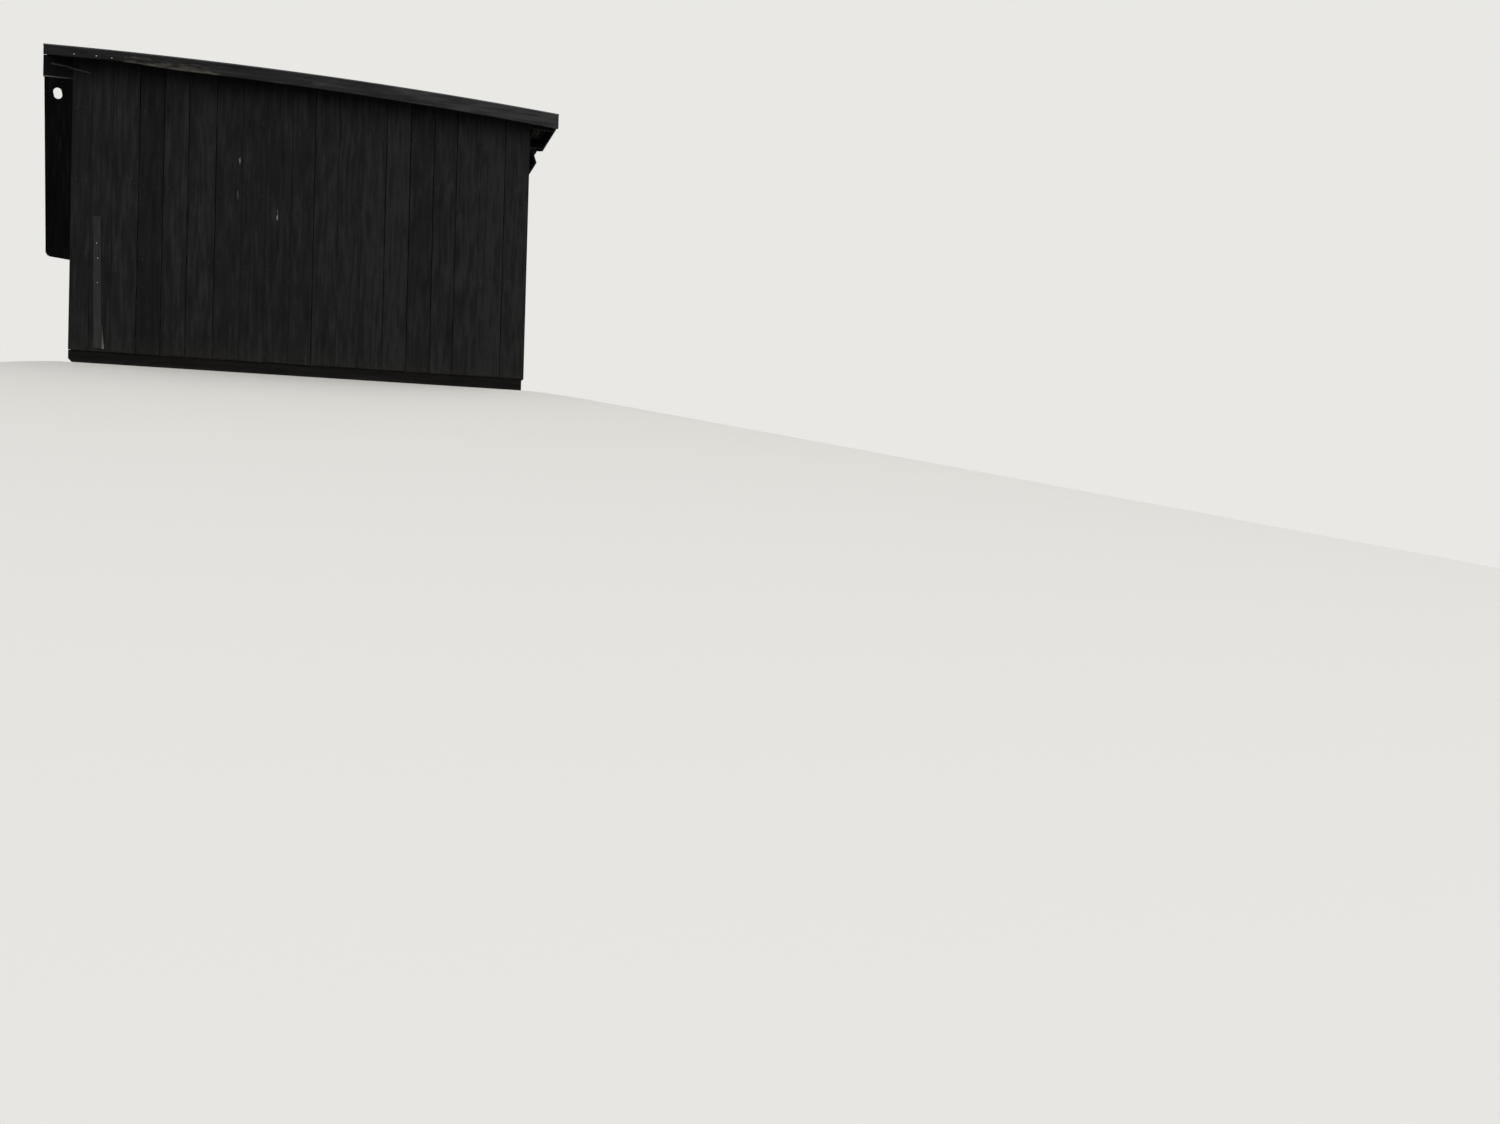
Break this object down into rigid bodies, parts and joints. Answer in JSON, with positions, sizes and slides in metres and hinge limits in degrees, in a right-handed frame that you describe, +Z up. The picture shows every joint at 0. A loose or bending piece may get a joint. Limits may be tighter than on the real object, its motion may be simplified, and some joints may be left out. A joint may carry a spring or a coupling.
{
  "type": "timber field shelter",
  "caption": "Livestock field shelter with vertical black boards on closed sides, an open post-framed front and a low single-slope ribbed steel roof.",
  "frame": {"origin": "on the ground, under the middle of the building's outline", "axes": "+X from the open high front to the closed low rear, +Y along the building from the near side wall to the far one, +Z up"},
  "size_m": [5.4646, 6.676, 3.3476],
  "materials": {
    "black_boards": "black stain, weathered, matt",
    "wing_boards": "black paint, matt",
    "roof_steel": "black baked enamel, dulled",
    "frame_timber": "rough sawn, weathered",
    "bottom_timber": "creosoted, soiled",
    "bare_strip": "bare, grey, weathered"
  },
  "bodies": {
    "root": {"skid_near": "bottom_timber", "skid_far": "bottom_timber", "skid_rear": "bottom_timber", "post_front_near": "frame_timber", "post_front_mid": "frame_timber", "post_front_far": "frame_timber", "post_rear_near": "frame_timber", "post_rear_mid": "frame_timber", "post_rear_far": "frame_timber", "post_side_near": "frame_timber", "post_side_far": "frame_timber", "girts_near": "frame_timber", "girts_far": "frame_timber", "girts_rear": "frame_timber", "header_front": "frame_timber", "plate_rear": "frame_timber", "braces_front": "frame_timber", "rafter_near": "frame_timber", "rafter_far": "frame_timber", "rafters_inner": "frame_timber", "purlins": "frame_timber", "barge_near": "black_boards", "barge_far": "black_boards", "fascia_rear": "black_boards", "siding_near": "black_boards", "siding_far": "black_boards", "siding_rear": "black_boards", "siding_front": "black_boards", "wing_near": "wing_boards", "wing_far": "wing_boards", "cover_strip": "bare_strip", "roof_sheet_1": "roof_steel", "roof_sheet_2": "roof_steel", "roof_sheet_3": "roof_steel", "roof_sheet_4": "roof_steel", "roof_sheet_5": "roof_steel", "roof_sheet_6": "roof_steel", "roof_sheet_7": "roof_steel", "roof_sheet_8": "roof_steel"}
  },
  "joints": []
}
